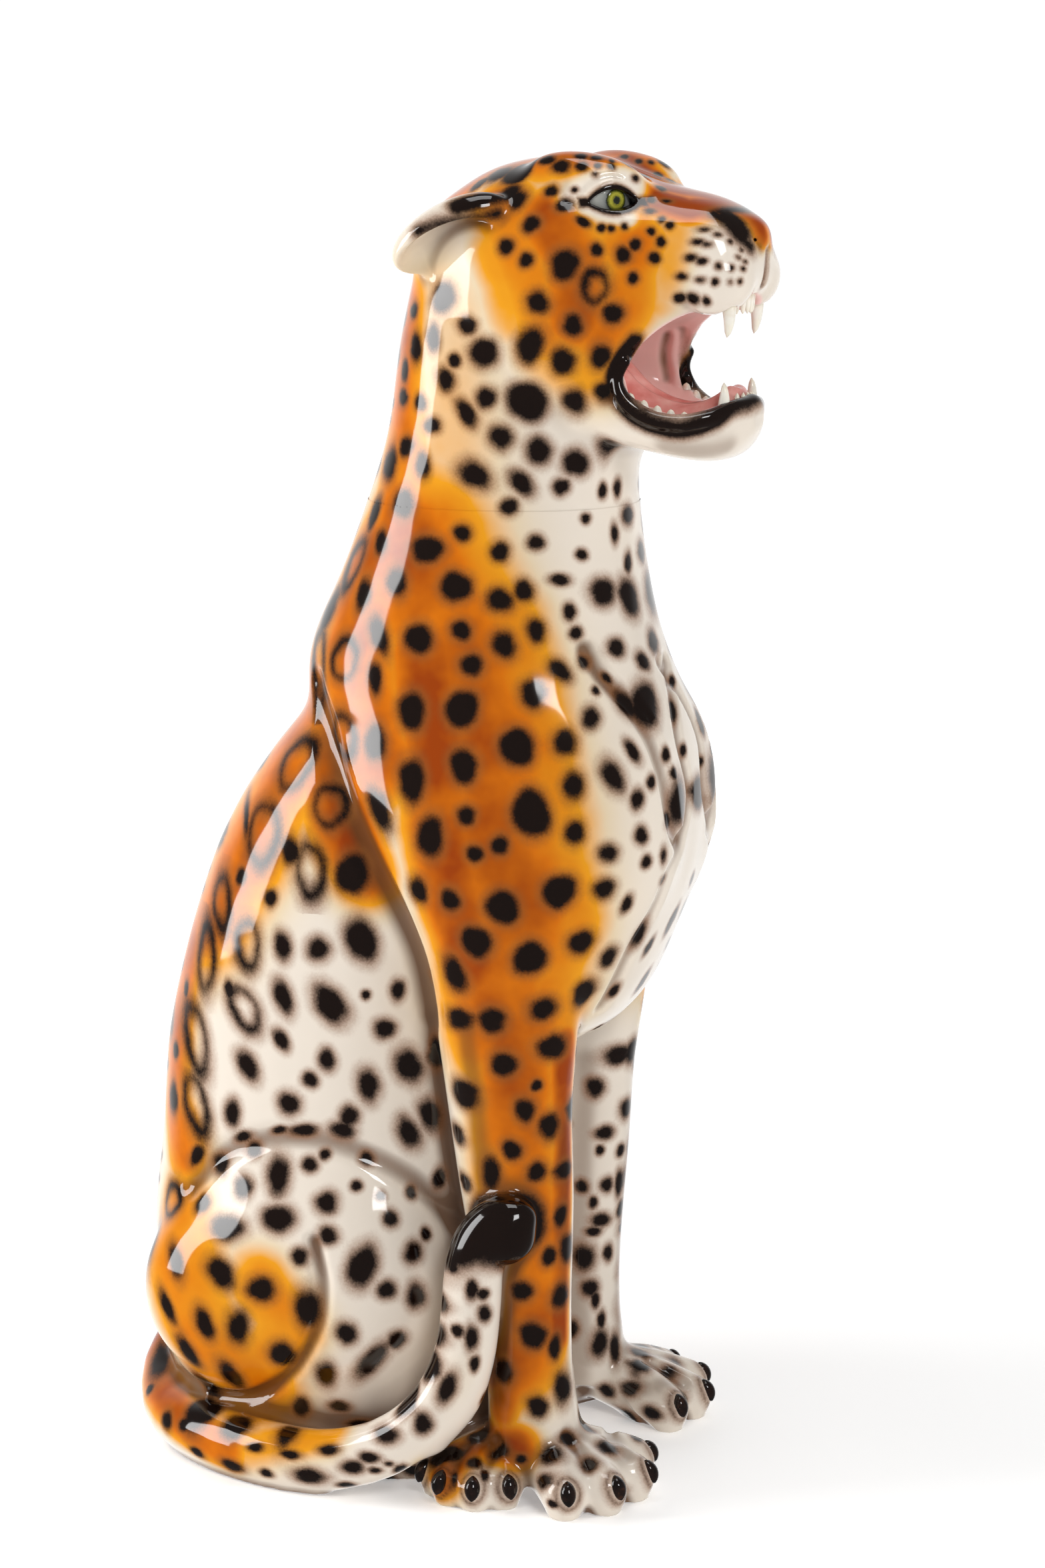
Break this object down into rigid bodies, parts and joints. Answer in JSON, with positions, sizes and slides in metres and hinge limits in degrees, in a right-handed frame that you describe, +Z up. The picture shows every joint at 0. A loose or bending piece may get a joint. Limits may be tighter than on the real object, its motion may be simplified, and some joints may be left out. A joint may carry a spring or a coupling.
{
  "type": "ceramic leopard figure",
  "caption": "Seated leopard figure in airbrushed glazed ceramic, roaring, with its ears laid back and its tail wrapped along its side, standing free on a flat seat.",
  "frame": {"origin": "on the floor, on the underside of the base slab, below the front of the trunk and midway between the flanks", "axes": "+X the way the animal faces, +Y to its left side, +Z up"},
  "size_m": [0.4408, 0.2917, 0.8766],
  "materials": {
    "spotted_glaze": "clear gloss over airbrushed amber, cream and dark brown spots",
    "pink_glaze": "clear gloss over pink",
    "eye_glaze": "clear gloss over yellow-green with a dark rim",
    "tooth_glaze": "clear gloss over ivory",
    "claw_glaze": "clear gloss over dark brown",
    "bisque": "unglazed fired clay"
  },
  "bodies": {
    "root": {"body_casting": "spotted_glaze", "head_casting": "spotted_glaze", "lower_jaw": "spotted_glaze", "tongue": "pink_glaze", "ear_left": "spotted_glaze", "ear_right": "spotted_glaze", "eye_left": "eye_glaze", "eye_right": "eye_glaze", "upper_canine_left": "tooth_glaze", "upper_canine_right": "tooth_glaze", "lower_canine_left": "tooth_glaze", "lower_canine_right": "tooth_glaze", "upper_incisors": "tooth_glaze", "lower_incisors": "tooth_glaze", "lower_molars_left": "tooth_glaze", "lower_molars_right": "tooth_glaze", "foreleg_left": "spotted_glaze", "foreleg_right": "spotted_glaze", "forepaw_left": "spotted_glaze", "forepaw_right": "spotted_glaze", "hindpaw_left": "spotted_glaze", "hindpaw_right": "spotted_glaze", "claws_forepaw_left": "claw_glaze", "claws_forepaw_right": "claw_glaze", "claws_hindpaw_left": "claw_glaze", "claws_hindpaw_right": "claw_glaze", "tail": "spotted_glaze", "base_slab": "bisque"}
  },
  "joints": []
}
